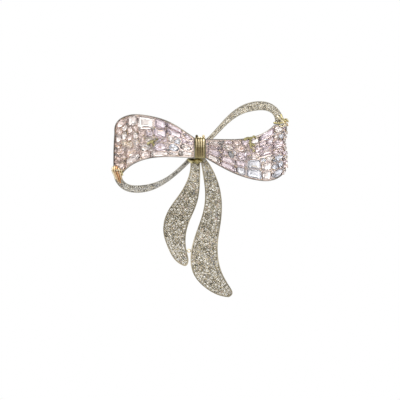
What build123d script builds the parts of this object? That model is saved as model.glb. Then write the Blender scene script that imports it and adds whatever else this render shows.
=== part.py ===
"""Bow brooch: arched wings set with mixed-cut stones, pave bands and tails, and a pin with a safety catch.

Frame, in millimetres: the origin is on the rear face of the back bar, behind the knot. +Z is up, +X is to
the right of someone who faces the brooch, and the front faces -Y. "Depth" is the distance forward of the
origin, so y = -depth. Outlines are drawn flat as (x, z) and turned up into the XZ plane.
"""

from build123d import *
from math import cos, dist, floor, pi, sin
import os

# Back bar, and the plane behind every casting
BAR_LEFT = -23.9
BAR_RIGHT = 23.4
BAR_HEIGHT = 2.2
BAR_DEPTH = 0.8
PAD_INSET = 0.9
PAD_LENGTH = 1.2
PAD_HEIGHT = 1.5
PAD_REACH = 3.0
SOLDER_GAP = 0.03

# Knot: core block, ribbed wrap and faceted leaf
KNOT_LEFT = -1.6
KNOT_RIGHT = 1.35
KNOT_TOP = 2.9
KNOT_BOTTOM = -2.95
CORE_FRONT = 4.0
WRAP_LEFT = -1.56
RIB_WIDTH = 0.96
RIB_COUNT = 3
WRAP_FRONT = 5.0
WRAP_TOP = 3.35
WRAP_END = -2.6
WRAP_CORNER = 1.1
WRAP_BACK = 1.2
RIB_ROUND = 0.3
EAR_RADIUS = 0.42
LEAF_BACK = 3.2
LEAF_FRONT = 4.7

# Wing panels
PANEL_THICK = 0.9
PANEL_RIM_WIDTH = 0.25
PANEL_RIM_HEIGHT = 0.45
PANEL_KNOT_DEPTH = 3.4
PANEL_ARCH = 4.2
PANEL_CROWN = 0.012
WING_REACH = 24.6
SEAT_SCALE = 0.7

# Wing stones
FIELD_MARGIN = 0.1
STONE_GAP = 0.16
CORNER_CUT = 0.26
STONE_LIFT = 0.04
GIRDLE_HEIGHT = 0.3
CROWN_HEIGHT = 0.48
CULET_DEPTH = 0.42
TABLE_SCALE = 0.62
CULET_SCALE = 0.25

# Pave plates: bands and tails
BAND_THICK = 0.55
BAND_FLOOR = 1.35
BAND_RIM_WIDTH = 0.2
TAIL_THICK = 0.7
TAIL_FLOOR = 2.65
TAIL_RIM_WIDTH = 0.25
TAIL_WAVE = 0.7
TAIL_WAVE_LENGTH = 31.0
TAIL_FADE = 8.0
LEFT_TAIL_PHASE = 0.0
RIGHT_TAIL_PHASE = 0.9
PAVE_RIM_HEIGHT = 0.3
PAVE_RADIUS = 0.42
PAVE_PITCH = 0.92
BAND_PAVE_RADIUS = 0.31
BAND_PAVE_PITCH = 0.72
PAVE_SIDES = 8
PAVE_GIRDLE = 0.16
PAVE_CROWN = 0.24
PAVE_MARGIN = 0.03
PAVE_WALK = 0.08
LANE_STEP = 0.12
ROW_CLOSENESS = 0.8
BORDER_SAMPLES = 160
BORDER_SLACK = 0.02

# Fold clips
CLIP_BARS = 3
CLIP_PITCH = 0.8
CLIP_BAR_RADIUS = 0.38
CLIP_LENGTH = 2.1
CLIP_WALL = 0.28
CLIP_CLEARANCE = 0.12
LEFT_CLIP = (-24.96, -7.3)
RIGHT_CLIP = (24.72, 7.2)

# Link ring between the tails
LINK_X = -3.295
LINK_Z = -29.2
LINK_WIRE = 0.14
LINK_HALF_WIDTH = 0.49
LINK_HALF_HEIGHT = 0.42

# Pin, hinge and catch
PIN_Y = 2.0
PIN_RADIUS = 0.42
HINGE_X = 15.5
EYE_RADIUS = 0.95
EYE_THICK = 1.2
RIVET_RADIUS = 0.4
RIVET_HEAD_RADIUS = 0.65
RIVET_HEAD_THICK = 0.25
RIVET_CLEARANCE = 0.05
EAR_THICK = 0.6
EAR_GAP = 1.36
FOOT_THICK = 0.5
STEM_ROOT_RADIUS = 0.6
STEM_ROOT_END = 13.6
STEM_STRAIGHT_START = 13.5
STEM_STRAIGHT_END = -10.5
STEM_TAPER_END = -15.0
STEM_NECK_RADIUS = 0.26
STEM_TIP_X = -19.6
STEM_TIP_RADIUS = 0.06
STEM_POINT = 2.2
CATCH_LEFT = -18.2
CATCH_RIGHT = -15.8
HOUSING_RADIUS = 1.6
HOUSING_BORE = 1.12
ROTOR_RADIUS = 1.05
ROTOR_BORE = 0.6
FLANGE_RADIUS = 1.35
FLANGE_THICK = 0.45
FLANGE_GAP = 0.1
SLOT_WIDTH = 1.0
LEVER_ANGLE = -52.0
LEVER_REACH = 2.35
LEVER_THICK = 0.55

SURFACE_TOLERANCE = 0.003
OUTLINE_SAMPLES = 600
INSET_SPANS = 16


def upright(face):
    """Turn a face drawn as (x, z) on the XY plane up into the XZ plane."""
    return Rot(90, 0, 0) * face


def prism(face):
    """The column of space in front of and behind an outline."""
    return extrude(upright(face), amount=20, both=True)


def plain_solid(shape):
    """The one solid that a boolean result holds."""
    return shape.solids()[0]


# Depth of the two kinds of curved plate, as functions of (x, z)


def wing_depth(x, z):
    """Front of a wing panel: an arch from the knot to the fold, slightly crowned across."""
    share = min(max((abs(x) - 1.6) / (WING_REACH - 1.6), 0.0), 1.0)
    fold_depth = BAR_DEPTH + PANEL_THICK
    base = PANEL_KNOT_DEPTH + share * (fold_depth - PANEL_KNOT_DEPTH)
    bulge = sin(pi * share ** 1.15)
    middle = 1.2 if x < 0 else -1.6
    return base + bulge * (PANEL_ARCH - PANEL_CROWN * (z - middle * share) ** 2)


def tail_depth(z, phase):
    """Front of a tail: level at the knot, then one long wave down its length."""
    drop = max(KNOT_BOTTOM - z, 0.0)
    fade = min(drop / TAIL_FADE, 1.0) ** 2
    return TAIL_FLOOR + fade * TAIL_WAVE * sin(2 * pi * drop / TAIL_WAVE_LENGTH + phase)


def left_tail_depth(x, z):
    """Front of the shorter tail."""
    return tail_depth(z, LEFT_TAIL_PHASE)


def right_tail_depth(x, z):
    """Front of the longer tail, out of step with the shorter one."""
    return tail_depth(z, RIGHT_TAIL_PHASE)


def band_depth(x, z):
    """Floor of a band, which is flat."""
    return BAND_FLOOR


def curved_slab(depth, low, high, front, back):
    """Solid between two copies of a depth surface, over a rectangle from low to high."""
    columns = 14
    rows = 12
    grid = []
    for i in range(columns + 1):
        x = low[0] + (high[0] - low[0]) * i / columns
        line = []
        for j in range(rows + 1):
            z = low[1] + (high[1] - low[1]) * j / rows
            line.append(Vector(x, -depth(x, z) - front, z))
        grid.append(line)
    surface = Face.make_surface_from_array_of_points(grid, tol=SURFACE_TOLERANCE)
    return Solid.extrude(surface, Vector(0, front + back, 0))


def inset(face, distance):
    """Face inside an outline, with its long edges redrawn as plain splines."""
    edges = []
    for edge in offset(face, amount=-distance).edges():
        if edge.geom_type in (GeomType.LINE, GeomType.CIRCLE):
            edges.append(edge)
        else:
            edges.append(Spline(*[edge @ (k / INSET_SPANS) for k in range(INSET_SPANS + 1)]))
    return make_face(edges)


def rimmed_plate(face, depth, thick, rim_width, rim_height):
    """Curved plate with a raised rim: the floor follows depth, and the rim stands above it."""
    box = face.bounding_box()
    low = (box.min.X - 0.5, box.min.Y - 0.5)
    high = (box.max.X + 0.5, box.max.Y + 0.5)
    full = curved_slab(depth, low, high, rim_height, thick) & prism(face)
    pocket = curved_slab(depth, low, high, 6.0, 0.0) & prism(inset(face, rim_width))
    return plain_solid(full - pocket)


# Outlines


def closed_face(*edges):
    """Face inside a chain of edges drawn as (x, z)."""
    return make_face(list(edges))


def ribbon_face(first, second):
    """Face between two edges that run the same way."""
    edges = [first, second, Line(first @ 0, second @ 0)]
    if (first @ 1 - second @ 1).length > 0.01:
        edges.append(Line(first @ 1, second @ 1))
    return make_face(edges)


def left_wing_face():
    """Outline of the left wing panel: high outside, with its fold at the lower corner."""
    return closed_face(
        Spline(
            (KNOT_LEFT, 2.85), (-5.0, 5.2), (-9.5, 7.7), (-14.8, 9.15), (-20.0, 9.4), (-23.4, 7.8),
            (-24.5, 4.4),
        ),
        ThreePointArc((-24.5, 4.4), (-24.75, -1.0), (-24.75, -6.55)),
        Line((-24.75, -6.55), (-22.1, -7.3)),
        Spline((-22.1, -7.3), (-20.0, -5.3), (-15.5, -3.3), (-10.0, -2.65), (KNOT_LEFT, -2.9)),
        Line((KNOT_LEFT, -2.9), (KNOT_LEFT, 2.85)),
    )


def right_wing_face():
    """Outline of the right wing panel: low outside, with its fold at the upper corner."""
    return closed_face(
        Spline(
            (KNOT_RIGHT, -2.9), (5.9, -5.5), (11.0, -7.9), (15.8, -9.2), (20.6, -9.2), (23.6, -7.3),
            (24.4, -4.4),
        ),
        Spline((24.4, -4.4), (24.3, -1.0), (24.1, 2.0), (24.6, 4.6), (24.4, 6.7)),
        Line((24.4, 6.7), (20.9, 6.6)),
        Spline((20.9, 6.6), (18.6, 4.7), (14.6, 3.05), (9.5, 2.45), (KNOT_RIGHT, 2.5)),
        Line((KNOT_RIGHT, 2.5), (KNOT_RIGHT, -2.9)),
    )


def left_band_edges():
    """Inner and outer edge of the left band, from the fold round to the knot."""
    inner = Spline(
        (-22.25, -7.45), (-22.0, -9.1), (-20.6, -10.25), (-18.2, -10.65), (-14.6, -10.25), (-10.6, -8.8),
        (-6.6, -5.9), (KNOT_LEFT, -0.8),
    )
    outer = Spline(
        (-24.7, -6.75), (-24.5, -8.6), (-23.4, -10.6), (-21.2, -12.2), (-18.2, -12.75), (-14.0, -12.1),
        (-9.4, -9.7), (-5.0, -6.1), (KNOT_LEFT, -2.8),
    )
    return inner, outer


def right_band_edges():
    """Inner and outer edge of the right band, from the fold round to the knot."""
    inner = Spline(
        (20.95, 6.8), (21.15, 8.2), (20.5, 9.6), (18.8, 10.55), (15.6, 10.6), (11.6, 9.5), (7.4, 6.5),
        (KNOT_RIGHT, 0.4),
    )
    outer = Spline(
        (23.6, 6.85), (23.2, 9.3), (21.9, 11.3), (19.7, 12.8), (16.8, 13.3), (13.2, 12.7), (9.0, 10.3),
        (5.2, 6.4), (KNOT_RIGHT, 2.4),
    )
    return inner, outer


def left_tail_edges():
    """Left and right edge of the shorter tail, from the knot to the tip."""
    left = Spline(
        (-3.0, KNOT_BOTTOM), (-3.15, -7.2), (-5.7, -12.7), (-9.4, -18.2), (-10.6, -23.4), (-9.4, -28.0),
        (-6.9, -32.2), (-4.7, -33.55),
    )
    right = Spline(
        (-0.15, KNOT_BOTTOM), (-0.1, -8.8), (-1.1, -16.0), (-3.4, -21.6), (-4.25, -26.6), (-3.7, -30.2),
        (-3.4, -32.2), (-4.0, -33.45), (-4.7, -33.55),
    )
    return left, right


def right_tail_edges():
    """Left and right edge of the longer tail, from the knot to the tip."""
    left = Spline(
        (-0.05, KNOT_BOTTOM), (0.75, -8.0), (1.3, -13.2), (0.7, -18.2), (-1.3, -24.2), (-2.8, -30.4),
        (-2.2, -35.3), (1.6, -39.9), (6.2, -42.15), (8.0, -42.4),
    )
    right = Spline(
        (KNOT_RIGHT, KNOT_BOTTOM), (4.2, -7.6), (6.0, -14.6), (5.85, -20.6), (4.9, -28.0), (5.8, -34.6),
        (8.3, -39.4), (9.1, -41.2), (8.0, -42.4),
    )
    return left, right


# Stones


def flat_face(points):
    """Flat face through corner points."""
    return Face(Wire.make_polygon([Vector(*point) for point in points], close=True))


def faceted(outline, centre, normal, rings):
    """Flat-faced solid: copies of an outline, scaled about its centre and shifted along the normal."""
    loops = []
    for scale, height in rings:
        loops.append([centre + (corner - centre) * scale + normal * height for corner in outline])
    faces = [flat_face(loops[0]), flat_face(loops[-1])]
    sides = len(outline)
    for upper, lower in zip(loops, loops[1:]):
        for i in range(sides):
            j = (i + 1) % sides
            faces.append(flat_face([upper[i], upper[j], lower[j], lower[i]]))
    return Solid(Shell(faces))


def surface_frame(depth, x, z):
    """Point on a depth surface and its forward normal."""
    step = 0.05
    slope_x = (depth(x + step, z) - depth(x - step, z)) / (2 * step)
    slope_z = (depth(x, z + step) - depth(x, z - step)) / (2 * step)
    normal = Vector(-slope_x, -1.0, -slope_z).normalized()
    return Vector(x, -depth(x, z), z), normal, slope_x, slope_z


def set_outline(corners, depth, lift):
    """Carry (x, z) corners onto the plane that touches the surface under their centre, just clear of it."""
    x = sum(corner[0] for corner in corners) / len(corners)
    z = sum(corner[1] for corner in corners) / len(corners)
    centre, normal, slope_x, slope_z = surface_frame(depth, x, z)

    def plane_depth(corner):
        return depth(x, z) + slope_x * (corner[0] - x) + slope_z * (corner[1] - z)

    rise = max(0.0, max(depth(*corner) - plane_depth(corner) for corner in corners)) + lift
    outline = [Vector(corner[0], -plane_depth(corner) - rise, corner[1]) for corner in corners]
    return outline, centre - Vector(0, rise, 0), normal


def corner_cut(length, width):
    """Eight-sided outline of a baguette or square cell, in cell coordinates from -1 to 1."""
    a = 1 - 2 * CORNER_CUT / length
    b = 1 - 2 * CORNER_CUT / width
    return [(1, b), (a, 1), (-a, 1), (-1, b), (-1, -b), (-a, -1), (a, -1), (1, -b)]


def oval(sides=12):
    """Oval outline that fills its cell."""
    return [(cos(2 * pi * k / sides), sin(2 * pi * k / sides)) for k in range(sides)]


def marquise():
    """Outline pointed at both ends of its cell."""
    stations = [1.0, 0.75, 0.4, 0.0, -0.4, -0.75, -1.0]
    upper = [(a, (1 - a * a) ** 0.65) for a in stations]
    lower = [(a, -b) for a, b in reversed(upper[1:-1])]
    return upper + lower


def pear(tip):
    """Outline with one round end and one point, at tip = 1 or -1."""
    round_end = [(-0.25 - 0.75 * cos(t), sin(t)) for t in [0, pi / 6, pi / 3, pi / 2]]
    upper = round_end + [(0.25, 0.93), (0.65, 0.6), (1.0, 0.0)]
    lower = [(a, -b) for a, b in reversed(upper[1:-1])]
    return [(tip * a, b) for a, b in upper + lower]


class Field:
    """The part of a wing panel inside its rim, addressed by seams across it and shares along them."""

    def __init__(self, face):
        inside = offset(face, amount=-(PANEL_RIM_WIDTH + FIELD_MARGIN))
        wire = inside.faces()[0].outer_wire()
        self.points = [wire.position_at(k / OUTLINE_SAMPLES) for k in range(OUTLINE_SAMPLES)]

    def limits(self, x):
        """Lowest and highest Z of the field at an X."""
        crossings = []
        for a, b in zip(self.points, self.points[1:] + self.points[:1]):
            if a.X != b.X and (a.X - x) * (b.X - x) <= 0:
                crossings.append(a.Y + (b.Y - a.Y) * (x - a.X) / (b.X - a.X))
        return min(crossings), max(crossings)

    def place(self, x, share):
        """(x, z) at an X and a share of the way up the field there."""
        low, high = self.limits(x)
        return x, low + share * (high - low)


def lane_stones(field, seams, lanes):
    """(cut, corners) of each stone in one block between two seams.

    A seam is (x, lean): it crosses the field at x, and leans by that much from bottom to top. A lane is
    (width share, cuts), and a cut is (name, length share).
    """
    stones = []
    total_width = sum(width for width, cuts in lanes)
    bottom = 0.0
    for width, cuts in lanes:
        top = bottom + width / total_width
        total_length = sum(length for cut, length in cuts)
        start = 0.0
        for cut, length in cuts:
            end = start + length / total_length

            def place(a, b):
                share = bottom + (top - bottom) * (b + 1) / 2
                along = start + (end - start) * (a + 1) / 2
                near = seams[0][0] + seams[0][1] * (share - 0.5)
                far = seams[1][0] + seams[1][1] * (share - 0.5)
                return field.place(near + along * (far - near), share)

            stones.append((cut, cell_corners(cut, place)))
            start = end
        bottom = top
    return stones


def distance(first, second):
    """Distance between two (x, z) points."""
    return Vector(first[0] - second[0], first[1] - second[1]).length


def cell_corners(cut, place):
    """Corners of one stone, shrunk from its cell by the setting gap."""
    length = distance(place(-1, 0), place(1, 0))
    width = distance(place(0, -1), place(0, 1))
    shapes = {
        "baguette": corner_cut(length, width),
        "square": corner_cut(length, width),
        "oval": oval(),
        "marquise": marquise(),
        "pear_out": pear(1),
        "pear_in": pear(-1),
    }
    if cut == "round":
        radius = (min(length, width) - STONE_GAP) / 2
        middle = place(0, 0)
        return [(middle[0] + radius * a, middle[1] + radius * b) for a, b in oval()]
    shrink_a = 1 - STONE_GAP / length
    shrink_b = 1 - STONE_GAP / width
    return [place(a * shrink_a, b * shrink_b) for a, b in shapes[cut]]


def wing_stone(corners):
    """One large stone on the wing surface."""
    outline, centre, normal = set_outline(corners, wing_depth, STONE_LIFT)
    rings = [
        (TABLE_SCALE, GIRDLE_HEIGHT + CROWN_HEIGHT),
        (1.0, GIRDLE_HEIGHT),
        (CULET_SCALE, -CULET_DEPTH),
    ]
    return faceted(outline, centre, normal, rings)


def seat_prism(corners):
    """Column that opens the panel under one stone."""
    x = sum(corner[0] for corner in corners) / len(corners)
    z = sum(corner[1] for corner in corners) / len(corners)
    points = [(x + (a - x) * SEAT_SCALE, z + (b - z) * SEAT_SCALE) for a, b in corners]
    return prism(make_face(Polyline(*points, close=True)))


LEFT_SEAMS = [
    (-2.25, 0.0), (-5.6, 1.2), (-9.4, -1.3), (-13.6, 1.2), (-17.4, -1.2), (-20.8, 1.0), (-23.85, 0.0),
]
LEFT_BLOCKS = [
    [
        (0.9, [("baguette", 1)]),
        (1.1, [("pear_in", 1)]),
        (0.9, [("oval", 1), ("oval", 1)]),
        (0.9, [("marquise", 1)]),
    ],
    [
        (0.6, [("baguette", 1)]),
        (1.2, [("pear_in", 1)]),
        (1.1, [("round", 1), ("oval", 1.1)]),
        (0.9, [("baguette", 1)]),
        (0.7, [("baguette", 1)]),
    ],
    [
        (0.6, [("baguette", 1)]),
        (1.1, [("marquise", 1)]),
        (0.7, [("round", 1), ("round", 1), ("round", 1)]),
        (1.1, [("baguette", 1)]),
        (1.1, [("baguette", 1)]),
    ],
    [
        (0.8, [("baguette", 1)]),
        (0.9, [("pear_in", 1)]),
        (0.8, [("square", 1), ("oval", 1)]),
        (0.9, [("square", 1), ("round", 1)]),
        (1.5, [("baguette", 1)]),
    ],
    [
        (1.0, [("oval", 1)]),
        (0.9, [("baguette", 1)]),
        (0.8, [("round", 1), ("round", 1)]),
        (0.9, [("square", 1), ("oval", 1)]),
        (0.8, [("round", 1), ("square", 1)]),
        (1.2, [("baguette", 1)]),
    ],
    [
        (1.1, [("baguette", 1)]),
        (0.8, [("round", 1), ("round", 1)]),
        (0.9, [("marquise", 1)]),
        (0.8, [("round", 1), ("oval", 1)]),
        (0.9, [("square", 1), ("square", 1)]),
        (0.8, [("oval", 1), ("round", 1)]),
        (0.9, [("pear_in", 1)]),
    ],
]

RIGHT_SEAMS = [
    (2.0, 0.0), (6.2, 1.3), (9.8, -1.3), (13.4, 1.2), (17.0, -1.0), (20.4, 1.0), (23.45, 0.0),
]
RIGHT_BLOCKS = [
    [
        (1.0, [("baguette", 1)]),
        (1.0, [("baguette", 1)]),
        (0.8, [("marquise", 1)]),
        (0.8, [("marquise", 1)]),
    ],
    [
        (0.9, [("baguette", 1)]),
        (0.9, [("baguette", 1)]),
        (1.1, [("round", 1), ("pear_out", 1.2)]),
        (0.9, [("marquise", 1)]),
        (0.6, [("baguette", 1)]),
    ],
    [
        (1.0, [("baguette", 1)]),
        (0.9, [("baguette", 1)]),
        (1.2, [("pear_in", 1)]),
        (0.8, [("marquise", 1)]),
        (0.8, [("square", 1), ("oval", 1)]),
    ],
    [
        (1.1, [("baguette", 1)]),
        (1.1, [("baguette", 1)]),
        (0.7, [("marquise", 1)]),
        (1.0, [("round", 1), ("square", 1)]),
        (0.9, [("baguette", 1)]),
    ],
    [
        (1.1, [("baguette", 1)]),
        (1.0, [("baguette", 1)]),
        (0.8, [("round", 1), ("round", 1)]),
        (1.2, [("baguette", 1)]),
        (0.9, [("square", 1), ("oval", 1)]),
        (0.8, [("baguette", 1)]),
    ],
    [
        (0.9, [("oval", 1)]),
        (0.9, [("round", 1), ("oval", 1)]),
        (0.8, [("oval", 1)]),
        (0.8, [("square", 1), ("round", 1)]),
        (1.0, [("baguette", 1)]),
        (0.8, [("round", 1), ("square", 1)]),
        (0.9, [("pear_out", 1)]),
    ],
]

STONE_GROUPS = {
    "baguettes": ("baguette", "square"),
    "marquises": ("marquise", "pear_out", "pear_in"),
    "rounds": ("round", "oval"),
}


def wing(side, face, seams, blocks):
    """One wing: the open-backed panel and its stones, grouped by cut."""
    field = Field(face)
    stones = []
    for near, far, lanes in zip(seams, seams[1:], blocks):
        stones += lane_stones(field, (near, far), lanes)
    panel = rimmed_plate(face, wing_depth, PANEL_THICK, PANEL_RIM_WIDTH, PANEL_RIM_HEIGHT)
    panel = panel - [seat_prism(corners) for cut, corners in stones]
    nodes = {side + "_wing_frame": plain_solid(panel)}
    for group, cuts in STONE_GROUPS.items():
        solids = [wing_stone(corners) for cut, corners in stones if cut in cuts]
        nodes[side + "_wing_" + group] = Compound(children=solids)
    return nodes


def walk(first, second):
    """Stations along the first edge: (x, z) and the unit direction square to it, towards the second."""
    across = second @ 0.5 - first @ 0.5
    middle = first % 0.5
    turn = 1 if middle.X * across.Y > middle.Y * across.X else -1
    count = floor(first.length / PAVE_WALK)
    stations = []
    for k in range(count + 1):
        point = first @ (k / count)
        tangent = first % (k / count)
        stations.append((point.X, point.Y, -turn * tangent.Y, turn * tangent.X))
    return stations


def moved(station, reach):
    """Point that far from a station, towards the second edge."""
    x, z, toward_x, toward_z = station
    return (x + reach * toward_x, z + reach * toward_z)


def clear_steps(station, margin, border):
    """How many lanes a stone can move from a station before it comes within the margin of the border."""
    steps = 0
    place = moved(station, margin)
    while min(dist(place, point) for point in border) > margin - BORDER_SLACK:
        steps += 1
        place = moved(station, margin + steps * LANE_STEP)
    return steps


def pave_places(first, second, rim_width, radius, pitch):
    """(x, z) of the pave stones: a row along each edge, close rows between, one row where it is narrow."""
    margin = rim_width + radius + PAVE_MARGIN
    border = []
    for edge in ribbon_face(first, second).edges():
        for k in range(BORDER_SAMPLES + 1):
            point = edge @ (k / BORDER_SAMPLES)
            border.append((point.X, point.Y))
    near = [(station, clear_steps(station, margin, border)) for station in walk(first, second)]
    far = [(station, clear_steps(station, margin, border)) for station in walk(second, first)]
    wide = pitch * ROW_CLOSENESS / LANE_STEP
    tried = [moved(station, margin) for station, steps in near + far if steps > wide]
    for station, steps in near:
        if 0 < steps <= wide:
            tried.append(moved(station, margin + (steps - 1) * LANE_STEP / 2))
    for lane in range(1, max(steps for _, steps in near)):
        tried += [moved(station, margin + lane * LANE_STEP) for station, steps in near if wide < steps > lane]
    places = []
    for place in tried:
        if all(dist(place, other) >= pitch for other in places):
            places.append(place)
    return places


def pave_stones(places, depth, radius):
    """Small round stones, each on its own patch of the plate's floor."""
    outline = [Vector(radius * a, 0, radius * b) for a, b in oval(PAVE_SIDES)]
    rings = [
        (0.55, PAVE_GIRDLE + PAVE_CROWN),
        (1.0, PAVE_GIRDLE),
        (0.8, 0.0),
    ]
    pattern = faceted(outline, Vector(0, 0, 0), Vector(0, -1, 0), rings)
    stones = []
    for x, z in places:
        centre, normal, slope_x, _ = surface_frame(depth, x, z)
        seat = Plane(origin=centre + normal * STONE_LIFT, x_dir=Vector(1, -slope_x, 0), z_dir=normal)
        stones.append(seat.location * Rot(-90, 0, 0) * pattern)
    return Compound(children=stones)


def pave_plate(name, edges, depth, thick, rim_width, radius, pitch):
    """A band or tail with its stones."""
    plate = rimmed_plate(ribbon_face(*edges), depth, thick, rim_width, PAVE_RIM_HEIGHT)
    places = pave_places(*edges, rim_width, radius, pitch)
    return {name: plate, name + "_pave": pave_stones(places, depth, radius)}


# Knot


def knot_core():
    """Block behind the wrap, which the wings, bands, tails and bar are soldered to."""
    size = Vector(KNOT_RIGHT - KNOT_LEFT, CORE_FRONT - BAR_DEPTH, KNOT_TOP - KNOT_BOTTOM)
    middle_x = (KNOT_LEFT + KNOT_RIGHT) / 2
    middle_z = (KNOT_TOP + KNOT_BOTTOM) / 2
    centre = Vector(middle_x, -(CORE_FRONT + BAR_DEPTH) / 2, middle_z)
    return Pos(centre) * Box(size.X, size.Y, size.Z)


def wrap_rib(left):
    """One rib of the wrap: over the top of the core and down its front, rounded along its outer edges."""
    corner_y = -(WRAP_FRONT - WRAP_CORNER)
    corner_z = WRAP_TOP - WRAP_CORNER
    diagonal = WRAP_CORNER * sin(pi / 4)
    corner_middle = (corner_y - diagonal, corner_z + diagonal)
    outer = [
        Line((-WRAP_BACK, WRAP_TOP), (corner_y, WRAP_TOP)),
        ThreePointArc((corner_y, WRAP_TOP), corner_middle, (-WRAP_FRONT, corner_z)),
        Line((-WRAP_FRONT, corner_z), (-WRAP_FRONT, WRAP_END)),
    ]
    inner = Polyline(
        (-WRAP_FRONT, WRAP_END), (-CORE_FRONT, WRAP_END), (-CORE_FRONT, KNOT_TOP), (-WRAP_BACK, KNOT_TOP),
        (-WRAP_BACK, WRAP_TOP),
    )
    profile = Plane.YZ * make_face([*outer, *inner.edges()])
    rib = extrude(profile, amount=RIB_WIDTH)
    front_edges = rib.edges().filter_by(
        lambda edge: edge.center().Y < -WRAP_FRONT + 0.05 and abs((edge @ 1 - edge @ 0).Z) > 1
    )
    rib = fillet(front_edges, RIB_ROUND)
    return Pos(left, 0, 0) * rib


def knot_wrap():
    """Ribbed wrap with two small ears on its top edge."""
    wrap = wrap_rib(WRAP_LEFT)
    for k in range(1, RIB_COUNT):
        wrap += wrap_rib(WRAP_LEFT + k * RIB_WIDTH)
    for x in (WRAP_LEFT + RIB_WIDTH / 2, WRAP_LEFT + (RIB_COUNT - 0.5) * RIB_WIDTH):
        wrap += Pos(x, -(WRAP_FRONT + WRAP_BACK) / 2 - 0.6, WRAP_TOP) * Sphere(EAR_RADIUS)
    return wrap - knot_core()


def knot_leaf():
    """Faceted fold under the knot: two pointed lobes side by side."""
    lobes = [
        [(-3.9, -3.05), (-3.4, -3.9), (-2.3, -4.5), (-1.1, -3.9), (-1.6, -3.1)],
        [
            (-1.9, -3.45), (-1.5, -4.3), (-0.8, -4.65), (0.2, -4.1), (0.75, -3.55), (-0.1, KNOT_BOTTOM),
            (-1.1, KNOT_BOTTOM),
        ],
    ]
    solids = []
    for corners in lobes:
        x = sum(corner[0] for corner in corners) / len(corners)
        z = sum(corner[1] for corner in corners) / len(corners)
        outline = [Vector(corner[0], 0, corner[1]) for corner in corners]
        rings = [(0.12, LEAF_FRONT), (1.0, LEAF_BACK + 0.45), (1.0, LEAF_BACK)]
        solids.append(faceted(outline, Vector(x, 0, z), Vector(0, -1, 0), rings))
    return solids[0] + solids[1]


# Small fittings on the bow


def fold_clip(x_wall, z):
    """Claw over a fold: a wall down the outer edge, and three upright bars that step up the panel."""
    inward = -1 if x_wall > 0 else 1
    bars = []
    for k in range(CLIP_BARS):
        x = x_wall + inward * (CLIP_WALL / 2 + k * CLIP_PITCH)
        nearest = max(wing_depth(x + side * CLIP_BAR_RADIUS, z) for side in (-1, 1))
        bars.append((x, -(nearest + PANEL_RIM_HEIGHT + CLIP_BAR_RADIUS + CLIP_CLEARANCE)))
    foot = (x_wall, -BAR_DEPTH - CLIP_WALL)
    shoulder = (x_wall, bars[0][1])
    section = trace(Polyline(foot, shoulder, *bars), CLIP_WALL)
    for bar in bars:
        section += Pos(*bar) * Circle(CLIP_BAR_RADIUS)
    return Pos(0, 0, z - CLIP_LENGTH / 2) * extrude(section, amount=CLIP_LENGTH)


def tail_link_ring():
    """Tiny oval wire ring that ties the tails together where they come closest."""
    path = Ellipse(LINK_HALF_WIDTH, LINK_HALF_HEIGHT).edge()
    start = Plane(origin=path @ 0, z_dir=path % 0)
    ring = sweep(start * Circle(LINK_WIRE), path=path)
    depth = (left_tail_depth(LINK_X, LINK_Z) + right_tail_depth(LINK_X, LINK_Z) - TAIL_THICK) / 2
    return Pos(LINK_X, -depth, LINK_Z) * Rot(90, 0, 0) * ring


# Back bar, hinge and catch


def back_bar():
    """Bar across the back, which carries the pin, with a pad at each end up to the wing panel."""
    length = BAR_RIGHT - BAR_LEFT
    outline = SlotOverall(length, BAR_HEIGHT)
    bar = Pos((BAR_LEFT + BAR_RIGHT) / 2, 0, 0) * extrude(upright(outline), amount=BAR_DEPTH)
    for end, inward in ((BAR_LEFT, 1), (BAR_RIGHT, -1)):
        middle = end + inward * (PAD_INSET + PAD_LENGTH / 2)
        pad = Pos(middle, -BAR_DEPTH - PAD_REACH / 2, 0) * Box(PAD_LENGTH, PAD_REACH, PAD_HEIGHT)
        low = (middle - PAD_LENGTH, -PAD_HEIGHT)
        high = (middle + PAD_LENGTH, PAD_HEIGHT)
        bar += pad - curved_slab(wing_depth, low, high, PAD_REACH, PANEL_THICK + SOLDER_GAP)
    return bar


def hinge_bracket():
    """Foot on the bar with two ears for the rivet."""
    half = EYE_RADIUS + 0.2
    outer = EAR_GAP / 2 + EAR_THICK
    foot = Pos(HINGE_X, FOOT_THICK / 2, 0) * Box(2 * half, FOOT_THICK, 2 * outer)
    bracket = foot
    for side in (-1, 1):
        middle = side * (EAR_GAP + EAR_THICK) / 2
        ear = Pos(HINGE_X, PIN_Y, middle) * Cylinder(half, EAR_THICK)
        ear += Pos(HINGE_X, PIN_Y / 2, middle) * Box(2 * half, PIN_Y, EAR_THICK)
        bracket += ear
    return bracket - Pos(HINGE_X, PIN_Y, 0) * Cylinder(RIVET_RADIUS, 2 * outer + 1)


def hinge_rivet():
    """Rivet through the ears and the eye, with a head at each end."""
    reach = EAR_GAP / 2 + EAR_THICK
    rivet = Cylinder(RIVET_RADIUS, 2 * reach)
    for side in (-1, 1):
        head = Cylinder(RIVET_HEAD_RADIUS, RIVET_HEAD_THICK)
        rivet += Pos(0, 0, side * (reach + RIVET_HEAD_THICK / 2)) * head
    return Pos(HINGE_X, PIN_Y, 0) * rivet


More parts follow.
